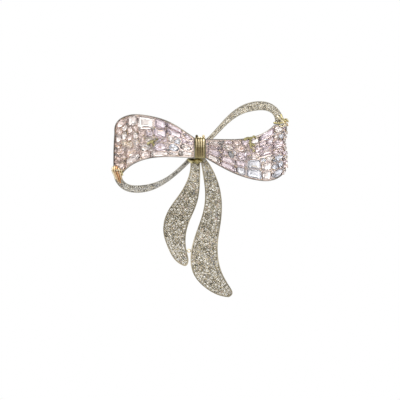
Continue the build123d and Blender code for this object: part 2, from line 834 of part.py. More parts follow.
def pin_stem():
    """Pin: eye, straight stem, long taper and a fine point."""
    eye = Pos(HINGE_X, PIN_Y, 0) * Cylinder(EYE_RADIUS, EYE_THICK)
    profile = Polyline(
        (HINGE_X, 0), (HINGE_X, STEM_ROOT_RADIUS), (STEM_ROOT_END, STEM_ROOT_RADIUS),
        (STEM_STRAIGHT_START, PIN_RADIUS), (STEM_STRAIGHT_END, PIN_RADIUS),
        (STEM_TAPER_END, STEM_NECK_RADIUS), (STEM_TIP_X + STEM_POINT, STEM_NECK_RADIUS),
        (STEM_TIP_X, STEM_TIP_RADIUS), (STEM_TIP_X, 0), (HINGE_X, 0),
    )
    shaft = Pos(0, PIN_Y, 0) * revolve(make_face(profile), axis=Axis.X)
    hole = Pos(HINGE_X, PIN_Y, 0) * Cylinder(RIVET_RADIUS + RIVET_CLEARANCE, EYE_THICK + 1)
    return eye + shaft - hole


def along_x(shape, start, end):
    """Extrude a section drawn as (y, z) from one X to another."""
    return Pos(start, 0, 0) * extrude(Plane.YZ * shape, amount=end - start)


def slotted(radius, bore, length_start, length_end, slot):
    """Open ring about the pin's axis, with its slot away from the bar."""
    section = Circle(radius) - Circle(bore) - Pos(radius, 0) * Rectangle(2 * radius, slot)
    return Pos(0, PIN_Y, 0) * along_x(section, length_start, length_end)


def catch_housing():
    """Fixed half of the catch: a foot on the bar and an open ring round the rotor."""
    foot_height = 2 * HOUSING_RADIUS - 0.6
    foot = Pos((CATCH_LEFT + CATCH_RIGHT) / 2, FOOT_THICK / 2, 0) * Box(
        CATCH_RIGHT - CATCH_LEFT, FOOT_THICK, foot_height
    )
    ring = slotted(HOUSING_RADIUS, HOUSING_BORE, CATCH_LEFT, CATCH_RIGHT, SLOT_WIDTH + 0.3)
    return foot + ring


def catch_rotor():
    """Turning half of the catch: an open sleeve with a flange at each end and a thumb lever."""
    left = CATCH_LEFT - FLANGE_GAP - FLANGE_THICK
    right = CATCH_RIGHT + FLANGE_GAP + FLANGE_THICK
    rotor = slotted(ROTOR_RADIUS, ROTOR_BORE, left, right, SLOT_WIDTH)
    rotor += slotted(FLANGE_RADIUS, ROTOR_BORE, left, left + FLANGE_THICK, SLOT_WIDTH)
    rotor += slotted(FLANGE_RADIUS, ROTOR_BORE, right - FLANGE_THICK, right, SLOT_WIDTH)
    reach = LEVER_REACH - ROTOR_RADIUS + 0.2
    tab = SlotOverall(reach, LEVER_THICK)
    section = Pos(ROTOR_RADIUS - 0.2 + reach / 2, 0) * tab
    section = Rot(0, 0, LEVER_ANGLE) * section
    lever = Pos(0, PIN_Y, 0) * along_x(section, left, left + FLANGE_THICK)
    return rotor + lever


def main():
    """Build every node and write one STEP file for each."""
    nodes = {}
    nodes.update(wing("left", left_wing_face(), LEFT_SEAMS, LEFT_BLOCKS))
    nodes.update(wing("right", right_wing_face(), RIGHT_SEAMS, RIGHT_BLOCKS))
    for name, edges in (("left_band", left_band_edges()), ("right_band", right_band_edges())):
        nodes.update(pave_plate(
            name, edges, band_depth, BAND_THICK, BAND_RIM_WIDTH, BAND_PAVE_RADIUS, BAND_PAVE_PITCH
        ))
    tails = (
        ("left_tail", left_tail_edges(), left_tail_depth),
        ("right_tail", right_tail_edges(), right_tail_depth),
    )
    for name, edges, depth in tails:
        nodes.update(pave_plate(name, edges, depth, TAIL_THICK, TAIL_RIM_WIDTH, PAVE_RADIUS, PAVE_PITCH))
    nodes["left_fold_clip"] = fold_clip(*LEFT_CLIP)
    nodes["right_fold_clip"] = fold_clip(*RIGHT_CLIP)
    nodes["knot_core"] = knot_core()
    nodes["knot_wrap"] = knot_wrap()
    nodes["knot_leaf"] = knot_leaf()
    nodes["tail_link_ring"] = tail_link_ring()
    nodes["back_bar"] = back_bar()
    nodes["hinge_bracket"] = hinge_bracket()
    nodes["hinge_rivet"] = hinge_rivet()
    nodes["pin_stem"] = pin_stem()
    nodes["catch_housing"] = catch_housing()
    nodes["catch_rotor"] = catch_rotor()
    os.makedirs("parts", exist_ok=True)
    for name, shape in nodes.items():
        export_step(shape, "parts/" + name + ".step")


main()
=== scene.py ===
import math
import random

import bmesh
import bpy
import numpy as np
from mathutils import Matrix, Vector, noise
from mathutils.bvhtree import BVHTree
from mathutils.kdtree import KDTree


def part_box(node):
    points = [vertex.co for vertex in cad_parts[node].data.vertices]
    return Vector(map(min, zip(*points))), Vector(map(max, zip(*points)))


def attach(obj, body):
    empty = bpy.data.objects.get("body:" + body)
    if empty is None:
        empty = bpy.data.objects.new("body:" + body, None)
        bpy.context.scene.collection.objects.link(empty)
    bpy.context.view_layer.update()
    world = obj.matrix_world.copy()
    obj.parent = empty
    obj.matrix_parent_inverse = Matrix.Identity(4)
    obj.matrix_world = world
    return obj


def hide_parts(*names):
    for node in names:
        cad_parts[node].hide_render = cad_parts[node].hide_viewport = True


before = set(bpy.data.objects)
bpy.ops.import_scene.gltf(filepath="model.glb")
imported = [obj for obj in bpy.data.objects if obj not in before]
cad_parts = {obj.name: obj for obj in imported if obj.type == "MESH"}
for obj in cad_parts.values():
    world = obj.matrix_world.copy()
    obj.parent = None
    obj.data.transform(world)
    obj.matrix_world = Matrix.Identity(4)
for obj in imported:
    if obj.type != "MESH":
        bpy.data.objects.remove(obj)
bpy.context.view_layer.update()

MM = 0.001

# The camera: the width that it sees at the object, the middle of its view, and how far off it stands
WIDTH_SEEN = 113.6 * MM
CENTRE_X = -0.14 * MM
CENTRE_Z = -14.8 * MM
CAMERA_DISTANCE = 1.2
CAMERA_PLANE_Y = -3 * MM
SENSOR_WIDTH = 36

# Rays that look for a surface start in front of the whole object and go straight back
RAY_START_Y = -0.05
BACKWARDS = Vector((0, 1, 0))
SIX_WAYS = [(math.cos(k * math.pi / 3), math.sin(k * math.pi / 3)) for k in range(6)]

random.seed(7)


# ---------------------------------------------------------------- materials


def new_material(name):
    """A material with its node tree and its Principled shader."""
    material = bpy.data.materials.new(name)
    material.use_nodes = True
    tree = material.node_tree
    shader = tree.nodes["Principled BSDF"]
    return material, tree, shader


def noise_node(tree, scale, detail=3.0, roughness=0.55, stretch=None):
    """Noise over the object's own coordinates, with features of about 1/scale metres."""
    place = tree.nodes.new("ShaderNodeTexCoord")
    found = tree.nodes.new("ShaderNodeTexNoise")
    found.inputs["Scale"].default_value = scale
    found.inputs["Detail"].default_value = detail
    found.inputs["Roughness"].default_value = roughness
    if stretch:
        mapping = tree.nodes.new("ShaderNodeMapping")
        mapping.inputs["Scale"].default_value = stretch
        tree.links.new(place.outputs["Object"], mapping.inputs["Vector"])
        tree.links.new(mapping.outputs["Vector"], found.inputs["Vector"])
    else:
        tree.links.new(place.outputs["Object"], found.inputs["Vector"])
    return found


def ramp(tree, source, stops):
    """Colour ramp over a 0 to 1 value."""
    node = tree.nodes.new("ShaderNodeValToRGB")
    elements = node.color_ramp.elements
    elements[0].position, elements[0].color = stops[0][0], (*stops[0][1], 1)
    elements[1].position, elements[1].color = stops[-1][0], (*stops[-1][1], 1)
    for position, colour in stops[1:-1]:
        element = elements.new(position)
        element.color = (*colour, 1)
    tree.links.new(source, node.inputs["Fac"])
    return node


def spread(tree, source, low, high):
    """Map the middle of a noise value to low..high."""
    node = tree.nodes.new("ShaderNodeMapRange")
    node.inputs["From Min"].default_value = 0.3
    node.inputs["From Max"].default_value = 0.7
    node.inputs["To Min"].default_value = low
    node.inputs["To Max"].default_value = high
    tree.links.new(source, node.inputs["Value"])
    return node


def metal(name, dark, light, rough=(0.12, 0.3), patch=260, grain=5200, bump=0.12, bump_depth=0.02 * MM):
    """Plated metal: slow changes of tone, fine buffing lines in the gloss, and a slight hammered bump."""
    material, tree, shader = new_material(name)
    tone = noise_node(tree, patch)
    colour = ramp(tree, tone.outputs["Fac"], [(0.3, dark), (0.7, light)])
    tree.links.new(colour.outputs["Color"], shader.inputs["Base Color"])
    buff = noise_node(tree, grain, 4.0, 0.6, stretch=(1.0, 1.0, 0.12))
    gloss = spread(tree, buff.outputs["Fac"], *rough)
    tree.links.new(gloss.outputs["Result"], shader.inputs["Roughness"])
    dents = noise_node(tree, grain * 0.35, 2.0)
    surface = tree.nodes.new("ShaderNodeBump")
    surface.inputs["Strength"].default_value = bump
    surface.inputs["Distance"].default_value = bump_depth
    tree.links.new(dents.outputs["Fac"], surface.inputs["Height"])
    tree.links.new(surface.outputs["Normal"], shader.inputs["Normal"])
    shader.inputs["Metallic"].default_value = 1.0
    return material


def gem(name, tint_a, tint_b, ior=1.75, clarity=0.88):
    """Cut stone, slightly milky, with a faint tint that drifts from stone to stone."""
    material, tree, shader = new_material(name)
    tone = noise_node(tree, 520, 1.0)
    colour = ramp(tree, tone.outputs["Fac"], [(0.35, tint_a), (0.65, tint_b)])
    tree.links.new(colour.outputs["Color"], shader.inputs["Base Color"])
    shader.inputs["Roughness"].default_value = 0.02
    shader.inputs["IOR"].default_value = ior
    shader.inputs["Transmission Weight"].default_value = clarity
    return material


def painted_reflection_foil(name, dark, light, rough=0.22):
    """Mirror foil behind a stone, its tone painted from facet to facet as glints and dark reflections of the
    pavilion.
    """
    material, tree, shader = new_material(name)
    tone = noise_node(tree, 1900, 1.0)
    colour = ramp(tree, tone.outputs["Fac"], [(0.35, dark), (0.65, light)])
    tree.links.new(colour.outputs["Color"], shader.inputs["Base Color"])
    shader.inputs["Metallic"].default_value = 0.7
    shader.inputs["Roughness"].default_value = rough
    return material


GOLD = metal("gold", (0.66, 0.54, 0.32), (0.86, 0.75, 0.50))
GOLD_WARM = metal("gold_warm", (0.38, 0.25, 0.13), (0.74, 0.58, 0.36))
PALE_GOLD = metal("pale_gold", (0.54, 0.48, 0.33), (0.84, 0.78, 0.60))
COPPER = metal("copper", (0.34, 0.18, 0.08), (0.64, 0.38, 0.20))
TWIG_OLIVE = metal("twig_olive", (0.20, 0.18, 0.08), (0.54, 0.49, 0.27))
GOLD_OLIVE = metal("gold_olive", (0.33, 0.29, 0.13), (0.66, 0.59, 0.33))
BEAD_GOLD = metal("bead_gold", (0.82, 0.74, 0.55), (0.96, 0.90, 0.74), rough=(0.1, 0.2))
BEAD_DARK = metal("bead_dark", (0.12, 0.11, 0.09), (0.30, 0.27, 0.20), rough=(0.2, 0.3))
KNOT_GOLD = metal("knot_gold", (0.40, 0.33, 0.18), (0.80, 0.70, 0.47), rough=(0.08, 0.2))
# Painted shade on the knot: a darker gold where the rib crests dip at the shoulder and the foot, near black
# in the grooves between the ribs
KNOT_CREST_SHADE = metal("knot_crest_shade", (0.24, 0.19, 0.09), (0.52, 0.44, 0.26), rough=(0.1, 0.24))
KNOT_GROOVE_SHADE = metal("knot_groove_shade", (0.05, 0.04, 0.02), (0.16, 0.13, 0.06), rough=(0.25, 0.4))
RIM = metal("rim", (0.13, 0.13, 0.12), (0.30, 0.28, 0.25), rough=(0.2, 0.36))
RIM_TAIL = metal("rim_tail", (0.22, 0.20, 0.15), (0.52, 0.47, 0.36), rough=(0.2, 0.36))
SEAT = metal("seat", (0.50, 0.42, 0.38), (0.84, 0.73, 0.68), rough=(0.14, 0.3))
GLITTER = {"rough": (0.2, 0.4), "patch": 900, "grain": 9000, "bump": 0.7, "bump_depth": 0.1 * MM}
FLOOR_TAIL = metal("floor_tail", (0.15, 0.14, 0.09), (0.54, 0.49, 0.37), **GLITTER)
FLOOR_COOL = metal("floor_cool", (0.22, 0.23, 0.23), (0.66, 0.66, 0.64), **GLITTER)
FLOOR_PALE = metal("floor_pale", (0.46, 0.43, 0.34), (0.88, 0.83, 0.70), **GLITTER)
RIM_BAND = metal("rim_band", (0.36, 0.35, 0.30), (0.66, 0.63, 0.54), rough=(0.2, 0.36))
BACK_METAL = metal("back_metal", (0.62, 0.56, 0.43), (0.78, 0.72, 0.58), rough=(0.16, 0.3), bump=0.06)
STEEL = metal("pin_steel", (0.62, 0.58, 0.48), (0.80, 0.76, 0.66), rough=(0.10, 0.22))

GEM_CLEAR = gem("gem_clear", (0.92, 0.84, 0.82), (0.99, 0.94, 0.92))
GEM_ROSE = gem("gem_rose", (0.95, 0.78, 0.74), (1.0, 0.89, 0.85))
GEM_LAVENDER = gem("gem_lavender", (0.78, 0.68, 0.77), (0.92, 0.82, 0.86))
GEM_GREY = gem("gem_grey", (0.72, 0.76, 0.86), (0.88, 0.88, 0.92))
GEM_CHAMPAGNE = gem("gem_champagne", (0.95, 0.82, 0.70), (1.0, 0.94, 0.86))
GEM_SMOKE = gem("gem_smoke", (0.30, 0.31, 0.33), (0.52, 0.52, 0.54))
WING_GEMS = [GEM_CLEAR, GEM_ROSE, GEM_LAVENDER, GEM_GREY, GEM_CHAMPAGNE, GEM_SMOKE]
CLEAR, ROSE, LAVENDER, GREY, CHAMPAGNE, SMOKY = range(6)

PAVE_GEM = gem("pave_gem", (0.97, 0.96, 0.93), (1.0, 1.0, 0.98), ior=1.5, clarity=0.96)
PAVE_ACCENTS = [PAVE_GEM, GEM_SMOKE, GEM_ROSE]
# Painted reflections: foil colours from a painted white glint to painted dark, standing for what the facets
# of a pavilion reflect
PAINTED_REFLECTION_FOILS = [
    painted_reflection_foil("foil_painted_white_glint", (0.96, 0.94, 0.90), (1.0, 1.0, 0.98), 0.14),
    painted_reflection_foil("foil_painted_cool_reflection", (0.66, 0.67, 0.66), (0.90, 0.90, 0.90), 0.14),
    painted_reflection_foil("foil_painted_olive_reflection", (0.46, 0.42, 0.30), (0.74, 0.68, 0.52)),
    painted_reflection_foil("foil_painted_dark_reflection", (0.03, 0.03, 0.03), (0.14, 0.13, 0.11)),
    painted_reflection_foil("foil_painted_rose_reflection", (0.72, 0.56, 0.48), (0.94, 0.78, 0.68)),
]
# How often a pave stone of each mood of painted reflection shows each foil above, in the same order
PAINTED_GLINT_MOODS = {
    "bright": [88, 8, 2, 1, 1],
    "mixed": [26, 22, 22, 20, 10],
    "deep": [11, 8, 26, 48, 7],
    "rose": [26, 6, 14, 12, 42],
}


# ---------------------------------------------------------------- stones read from the frame


JOIN_WITHIN = 0.0005 * MM
FLAT_WITHIN = math.radians(0.6)
TABLE_MIN_SIDES = 6
FACING_FRONT = -0.2


def rings_of(node):
    """The rings of corners of each stone in a CAD node, from the table down, and the table's normal."""
    mesh = bmesh.new()
    mesh.from_mesh(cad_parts[node].data)
    bmesh.ops.remove_doubles(mesh, verts=mesh.verts, dist=JOIN_WITHIN)
    bmesh.ops.dissolve_limit(mesh, angle_limit=FLAT_WITHIN, verts=mesh.verts, edges=mesh.edges)
    stones = []
    for face in mesh.faces:
        if len(face.verts) < TABLE_MIN_SIDES or face.normal.y > FACING_FRONT:
            continue
        rings = [list(face.verts)]
        used = set(face.verts)
        while True:
            below = []
            for v in rings[-1]:
                near = [e.other_vert(v) for e in v.link_edges]
                steps = [n for n in near if n not in used]
                below.append(steps[0] if len(steps) == 1 else None)
            if any(v is None for v in below) or len(set(below)) != len(below):
                break
            rings.append(below)
            used.update(below)
        stones.append(([[v.co.copy() for v in ring] for ring in rings], face.normal.copy()))
    mesh.free()
    return stones


def whole_stones(node):
    """The stones of a CAD node whose table, girdle and lower rings were all found."""
    found = rings_of(node)
    whole = [stone for stone in found if len(stone[0]) == 3]
    if len(whole) < len(found):
        print(len(found) - len(whole), "stones left out of", node)
    return whole


def mean(points):
    """The middle of some points."""
    total = Vector((0, 0, 0))
    for p in points:
        total += p
    return total / len(points)


class Builder:
    """Collects faces with a material each, and makes one object of them."""

    def __init__(self, name, materials):
        self.name = name
        self.materials = materials
        self.points = []
        self.faces = []
        self.tones = []

    def add(self, points, faces, tone):
        start = len(self.points)
        self.points += [tuple(p) for p in points]
        self.faces += [[start + k for k in face] for face in faces]
        self.tones += tone if isinstance(tone, list) else [tone] * len(faces)

    def make(self, body, slot, replaced=None, smooth=False):
        mesh = bpy.data.meshes.new(self.name)
        mesh.from_pydata(self.points, [], self.faces)
        for material in self.materials:
            mesh.materials.append(material)
        mesh.polygons.foreach_set("material_index", self.tones)
        mesh.polygons.foreach_set("use_smooth", [smooth] * len(self.faces))
        mesh.update()
        piece = bpy.data.objects.new(self.name, mesh)
        bpy.context.scene.collection.objects.link(piece)
        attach(piece, body)
        if replaced:
            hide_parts(replaced)


def between(high, low, across, down, normal):
    """Points between two rings, moved by one share sideways and by another along the normal."""
    found = []
    for a, b in zip(high, low):
        step = b - a
        along = normal * step.dot(normal)
        found.append(a + (step - along) * across + along * down)
    return found


def middles(ring):
    """The middles of a ring's sides."""
    return [(p + ring[(k + 1) % len(ring)]) / 2 for k, p in enumerate(ring)]


# Steps of a baguette, each as a share of the way sideways and of the way up or down
CROWN_STEPS = ((1.18, 1.0), (0.66, 0.8), (0.3, 0.48))
PAVILION_STEPS = ((0.4, 0.52), (0.8, 0.86))


def step_cut(rings, normal):
    """Baguette or square: bands of steps from the table down to the girdle, and more below it."""
    table, girdle, lower, culet = rings
    levels = [between(girdle, table, across, up, normal) for across, up in CROWN_STEPS]
    levels += [girdle, lower]
    levels += [between(lower, culet, across, down, normal) for across, down in PAVILION_STEPS]
    levels.append(culet)
    n = len(table)
    points = [p for level in levels for p in level]
    faces = [list(range(n))]
    for k in range(len(levels) - 1):
        for i in range(n):
            j = (i + 1) % n
            faces.append([k * n + j, k * n + i, (k + 1) * n + i, (k + 1) * n + j])
    faces.append([(len(levels) - 1) * n + i for i in reversed(range(n))])
    return points, faces


def brilliant(rings, normal):
    """Round, oval, pear or marquise: star, kite and girdle facets, and a fan of pavilion facets."""
    table, girdle, lower, culet = rings
    n = len(table)
    top = between(girdle, table, 1.1, 1.0, normal)
    mids = between(middles(girdle), middles(table), 0.5, 0.62, normal)
    under = between(middles(lower), middles(culet), 0.5, 0.5, normal)
    points = top + mids + girdle + lower + under + culet
    t, m, g, b, u, c = (k * n for k in range(6))
    faces = [[t + i for i in range(n)]]
    for i in range(n):
        j = (i + 1) % n
        faces += [
            [t + j, t + i, m + i],
            [t + i, g + i, m + i],
            [t + j, m + i, g + j],
            [m + i, g + i, g + j],
            [g + j, g + i, b + i, b + j],
            [b + j, b + i, u + i],
            [b + i, c + i, u + i],
            [b + j, u + i, c + j],
            [u + i, c + i, c + j],
        ]
    faces.append([c + i for i in reversed(range(n))])
    return points, faces


# Places as shares of a wing's width and height: dark stones, and the stems of the twigs over the stones
SMOKY_SPOTS = {"left": [(0.77, 0.58)], "right": [(0.30, 0.475), (0.93, 0.44)]}
SMOKY_REACH = 0.032
TWIGS = {
    "left": [
        [(0.43, 0.50), (0.46, 0.54), (0.50, 0.55), (0.54, 0.58)],
        [(0.47, 0.54), (0.49, 0.50), (0.50, 0.46)],
    ],
    "right": [
        [(0.48, 0.735), (0.52, 0.76), (0.55, 0.75), (0.60, 0.78)],
        [(0.545, 0.75), (0.55, 0.69), (0.545, 0.62), (0.57, 0.56), (0.60, 0.53)],
        [(0.55, 0.66), (0.575, 0.645), (0.59, 0.62)],
    ],
}


def shares(place, box):
    """Where a point stands in a box, as shares of its width and height."""
    low, high = box
    return (place.x - low.x) / (high.x - low.x), (place.z - low.z) / (high.z - low.z)


def tint_for(place, box):
    """Which of WING_GEMS stands here: rose outside on the left, lavender and grey towards the right."""
    across, up = shares(place, box)
    wing = "left" if place.x < 0 else "right"
    if any(math.hypot(across - a, up - b) < SMOKY_REACH for a, b in SMOKY_SPOTS[wing]):
        return SMOKY
    drift = noise.noise(place * 260)
    choice = random.random()
    if wing == "left" and across < 0.42:
        if choice < 0.5 + 0.3 * drift:
            return ROSE
        return CHAMPAGNE if choice < 0.64 and up < 0.6 else CLEAR
    if wing == "left" and up < 0.4:
        return CLEAR if choice < 0.45 else (LAVENDER if choice < 0.7 else GREY)
    if wing == "left":
        return LAVENDER if choice < 0.45 + 0.3 * drift else (CLEAR if choice < 0.66 else GREY)
    if across < 0.3:
        return ROSE if up > 0.6 and choice < 0.5 else (LAVENDER if choice < 0.55 else CLEAR)
    if up < 0.42:
        return GREY if choice < 0.4 else (LAVENDER if choice < 0.75 else CLEAR)
    if choice < 0.55 + 0.3 * drift:
        return LAVENDER
    return CLEAR if choice < 0.7 else (GREY if choice < 0.88 else ROSE)


# Baguettes and squares have cut corners, so eight sides, and no other wing stone has eight
BAGUETTE_SIDES = 8

# The lower edge of a girdle, as shares of the way sideways and down to the culet
GIRDLE_BAND = (0.03, 0.1)


def claw_places(girdle):
    """Where claws hold a stone: its cut corners if it is a baguette, else every third point of its girdle."""
    n = len(girdle)
    if n != BAGUETTE_SIDES:
        return [girdle[k] for k in range(1, n, 3)]
    lengths = [(p - girdle[(k + 1) % n]).length for k, p in enumerate(girdle)]
    edges = middles(girdle)
    return [edges[k] for k in sorted(range(n), key=lambda k: lengths[k])[:4]]


def wing_stones(side):
    """Cut stones for one wing, the places of the claws that hold them, and the stones' outlines."""
    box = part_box(side + "_wing_frame")
    claws = []
    outlines = []
    for group in ("baguettes", "marquises", "rounds"):
        node = side + "_wing_" + group
        builder = Builder("cut_" + node, WING_GEMS)
        for (table, girdle, culet), normal in whole_stones(node):
            lower = between(girdle, culet, *GIRDLE_BAND, normal)
            make = step_cut if len(table) == BAGUETTE_SIDES else brilliant
            points, faces = make((table, girdle, lower, culet), normal)
            builder.add(points, faces, tint_for(mean(girdle), box))
            outlines.append([(p.x, p.z) for p in girdle])
            centre = mean(girdle)
            depth = (table[0] - girdle[0]).dot(normal)
            for corner in claw_places(girdle):
                claws.append((corner, (centre - corner).normalized(), normal, depth))
        builder.make("bow", "wing_stone", node)
    return claws, outlines


def surface_of(node):
    """Search tree over a CAD node's own mesh."""
    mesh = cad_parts[node].data
    return BVHTree.FromPolygons([v.co for v in mesh.vertices], [list(p.vertices) for p in mesh.polygons])


def inside_any(x, z, outlines):
    """Whether each point lies inside one of the convex outlines."""
    found = np.zeros(len(x), bool)
    for outline in outlines:
        corners = np.array(outline)
        steps = np.roll(corners, -1, 0) - corners
        turns = [a[0] * (z - c[1]) - a[1] * (x - c[0]) for a, c in zip(steps, corners)]
        found |= np.all(np.array(turns) > 0, 0) | np.all(np.array(turns) < 0, 0)
    return found


LEVEL_WITHIN = 0.12 * MM
STEEPEST = -0.4


def level_round(surface, x, z, reach):
    """The front surface at a place and its normal, or None if it isn't level as far as reach."""
    place, normal, _, _ = surface.ray_cast(Vector((x, RAY_START_Y, z)), BACKWARDS)
    if place is None or normal.y > STEEPEST:
        return None
    for a, b in SIX_WAYS:
        dx, dz = reach * a, reach * b
        other, _, _, _ = surface.ray_cast(Vector((x + dx, RAY_START_Y, z + dz)), BACKWARDS)
        if other is None:
            return None
        level = place.y - (normal.x * dx + normal.z * dz) / normal.y
        if abs(other.y - level) > LEVEL_WITHIN:
            return None
    return place, normal


# Radii of the stones that fill the gaps, in millimetres; the smallest are metal grains
WING_FILL = (0.44, 0.36, 0.28, 0.21, 0.14)
PAVE_FILL = (0.34, 0.27, 0.21, 0.13)
GRAIN_LIMIT = 0.2

FILL_GRID = 0.17 * MM
FILL_EDGE_STEPS = 12
FILL_SIDES = 8
FILL_RAISE = 0.6
SMOKY_SHARE = 0.12
STONE_CLEAR = 0.02 * MM
FILL_CLEAR = 0.03 * MM

# Radius and height of a small stone's rings from the table down, as shares of its radius
SMALL_PROFILE = ((0.58, 0.46), (1.0, 0.0), (1.0, -0.1), (0.2, -0.55))


def small_rings(centre, normal, radius, sides):
    """Rings of corners of a small round stone."""
    across = normal.orthogonal().normalized()
    other = normal.cross(across)
    rings = []
    for scale, height in SMALL_PROFILE:
        ring = []
        for k in range(sides):
            turn = 2 * math.pi * k / sides
            out = across * math.cos(turn) + other * math.sin(turn)
            ring.append(centre + out * radius * scale + normal * radius * height)
        rings.append(ring)
    return rings


def room_round(places, outlines):
    """How far each place is from the nearest outline."""
    edge = []
    for outline in outlines:
        for k, (ax, az) in enumerate(outline):
            bx, bz = outline[(k + 1) % len(outline)]
            for t in range(FILL_EDGE_STEPS):
                edge.append((ax + (bx - ax) * t / FILL_EDGE_STEPS, az + (bz - az) * t / FILL_EDGE_STEPS))
    tree = KDTree(len(edge))
    for k, (x, z) in enumerate(edge):
        tree.insert((x, 0, z), k)
    tree.balance()
    return [tree.find((x, 0, z))[2] for x, z in places]


def fill_gaps(name, node, outlines, radii, gems, tint):
    """Small round stones and grains that fill the metal of a plate between its stones, largest first."""
    low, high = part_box(node)
    x, z = np.meshgrid(np.arange(low.x, high.x, FILL_GRID), np.arange(low.z, high.z, FILL_GRID))
    x, z = x.ravel(), z.ravel()
    free = ~inside_any(x, z, outlines)
    places = list(zip(x[free], z[free]))
    room = room_round(places, outlines)
    surface = surface_of(node)
    stones = Builder(name + "_accent_stones", gems)
    grains = Builder(name + "_grains", [GOLD, SEAT])
    kept = []
    for radius in radii:
        size = radius * MM
        for (px, pz), clear in zip(places, room):
            if clear < size + STONE_CLEAR:
                continue
            if any(math.hypot(px - kx, pz - kz) < size + other + FILL_CLEAR for kx, kz, other in kept):
                continue
            seat = level_round(surface, px, pz, size + FILL_CLEAR)
            if seat is None:
                continue
            kept.append((px, pz, size))
            place, normal = seat
            if radius > GRAIN_LIMIT:
                rings = small_rings(place + normal * size * FILL_RAISE, normal, size, FILL_SIDES)
                stones.add(*brilliant(rings, normal), tint(place, (low, high)))
            else:
                grains.add(*bead(place, normal, size * 0.9, size * 1.3), random.randrange(2))
    stones.make("bow", "wing_stone" if "wing" in node else "pave_stone")
    grains.make("bow", "gold", smooth=True)


def accent_tint(place, box):
    """As its neighbours, with a dark stone here and there."""
    return SMOKY if random.random() < SMOKY_SHARE else tint_for(place, box)


def spark_tint(_place, _box):
    """Clear, dark or rose, wherever it stands: an index in PAVE_ACCENTS."""
    return random.choices(range(len(PAVE_ACCENTS)), [70, 22, 8])[0]


BEAD_ROWS = 4
BEAD_SIDES = 8


def bead(centre, axis, radius, height):
    """Small dome-ended bead, stretched along its axis."""
    axis = axis.normalized()
    side = axis.orthogonal().normalized()
    other = axis.cross(side)
    points = [centre + axis * height]
    for row in range(1, BEAD_ROWS):
        angle = math.pi * row / BEAD_ROWS
        for k in range(BEAD_SIDES):
            turn = 2 * math.pi * k / BEAD_SIDES
            out = (side * math.cos(turn) + other * math.sin(turn)) * radius * math.sin(angle)
            points.append(centre + out + axis * height * math.cos(angle))
    points.append(centre - axis * height)
    faces = []
    for k in range(BEAD_SIDES):
        j = (k + 1) % BEAD_SIDES
        faces.append([0, 1 + k, 1 + j])
        for row in range(BEAD_ROWS - 2):
            a = 1 + row * BEAD_SIDES
            b = a + BEAD_SIDES
            faces.append([a + k, b + k, b + j, a + j])
        last = 1 + (BEAD_ROWS - 2) * BEAD_SIDES
        faces.append([last + k, len(points) - 1, last + j])
    return points, faces


def thin_out(found, gap):
    """Leave out each place that is nearer than gap to one already kept."""
    kept = []
    for item in found:
        if all((item[0] - other[0]).length > gap for other in kept):
            kept.append(item)
    return kept


def smooth_line(points, rounds=3):
    """Line through a few points with its corners cut round."""
    line = [Vector(p) for p in points]
    for _ in range(rounds):
        cut = [line[0]]
        for a, b in zip(line, line[1:]):
            cut += [a.lerp(b, 0.25), a.lerp(b, 0.75)]
        line = cut + [line[-1]]
    return line


STRAND_SIDES = 10
STRAND_END_RINGS = 3


def strand(path, thick, thin):
    """Round wire along a path, thinner towards its far end, with rounded ends."""
    n = len(path)
    line = list(path)
    sizes = [thick + (thin - thick) * k / (n - 1) for k in range(n)]
    first = (path[0] - path[1]).normalized()
    last = (path[-1] - path[-2]).normalized()
    for k in range(1, STRAND_END_RINGS + 1):
        turn = math.pi / 2 * k / (STRAND_END_RINGS + 0.4)
        line.insert(0, path[0] + first * thick * math.sin(turn))
        sizes.insert(0, thick * math.cos(turn))
        line.append(path[-1] + last * thin * math.sin(turn))
        sizes.append(thin * math.cos(turn))
    points, faces = [], []
    for k, (p, size) in enumerate(zip(line, sizes)):
        along = (line[min(k + 1, len(line) - 1)] - line[max(k - 1, 0)]).normalized()
        across = along.cross(Vector((0, 1, 0))).normalized()
        other = along.cross(across)
        for i in range(STRAND_SIDES):
            turn = 2 * math.pi * i / STRAND_SIDES
            points.append(p + (across * math.cos(turn) + other * math.sin(turn)) * size)
    for k in range(len(line) - 1):
        near, far = k * STRAND_SIDES, (k + 1) * STRAND_SIDES
        for i in range(STRAND_SIDES):
            j = (i + 1) % STRAND_SIDES
            faces.append([near + i, near + j, far + j, far + i])
    faces.append(list(reversed(range(STRAND_SIDES))))
    faces.append([(len(line) - 1) * STRAND_SIDES + i for i in range(STRAND_SIDES)])
    return points, faces


def front_of(surface, x, z, reach):
    """How far forward a surface comes at a place and round it, or None where there is none."""
    found = []
    for a, b in [(0, 0)] + SIX_WAYS:
        place, _, _, _ = surface.ray_cast(Vector((x + reach * a, RAY_START_Y, z + reach * b)), BACKWARDS)
        if place is not None:
            found.append(place.y)
    return min(found) if found else None


TWIG_REACH = 0.8 * MM
TWIG_LIFT = 0.45 * MM


def twigs(side):
    """Short gold stems with small buds that lie over some of the stones."""
    low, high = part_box(side + "_wing_frame")
    surface = surface_of(side + "_wing_frame")
    builder = Builder(side + "_twigs", [TWIG_OLIVE, GOLD_OLIVE])
    for stem in TWIGS[side]:
        points = []
        for a, b in stem:
            x = low.x + a * (high.x - low.x)
            z = low.z + b * (high.z - low.z)
            points.append(Vector((x, front_of(surface, x, z, TWIG_REACH) - TWIG_LIFT, z)))
        line = smooth_line(points)
        builder.add(*strand(line, 0.4 * MM, 0.26 * MM), 0)
        for p in line[1::3]:
            bud = p + Vector((random.uniform(-0.34, 0.34), -0.1, random.uniform(-0.34, 0.34))) * MM
            lean = Vector((random.uniform(-0.6, 0.6), -1, random.uniform(-0.6, 0.6)))
            size = random.uniform(0.16, 0.28) * MM
            builder.add(*bead(bud, lean, size, size * 1.2), random.choice([0, 0, 1]))
    builder.make("bow", "gold", smooth=True)


CLAW_METALS = [SEAT, GOLD, GOLD_OLIVE, RIM]
CLAW_SHARES = [52, 22, 10, 16]
CLAW_GAP = 0.42 * MM


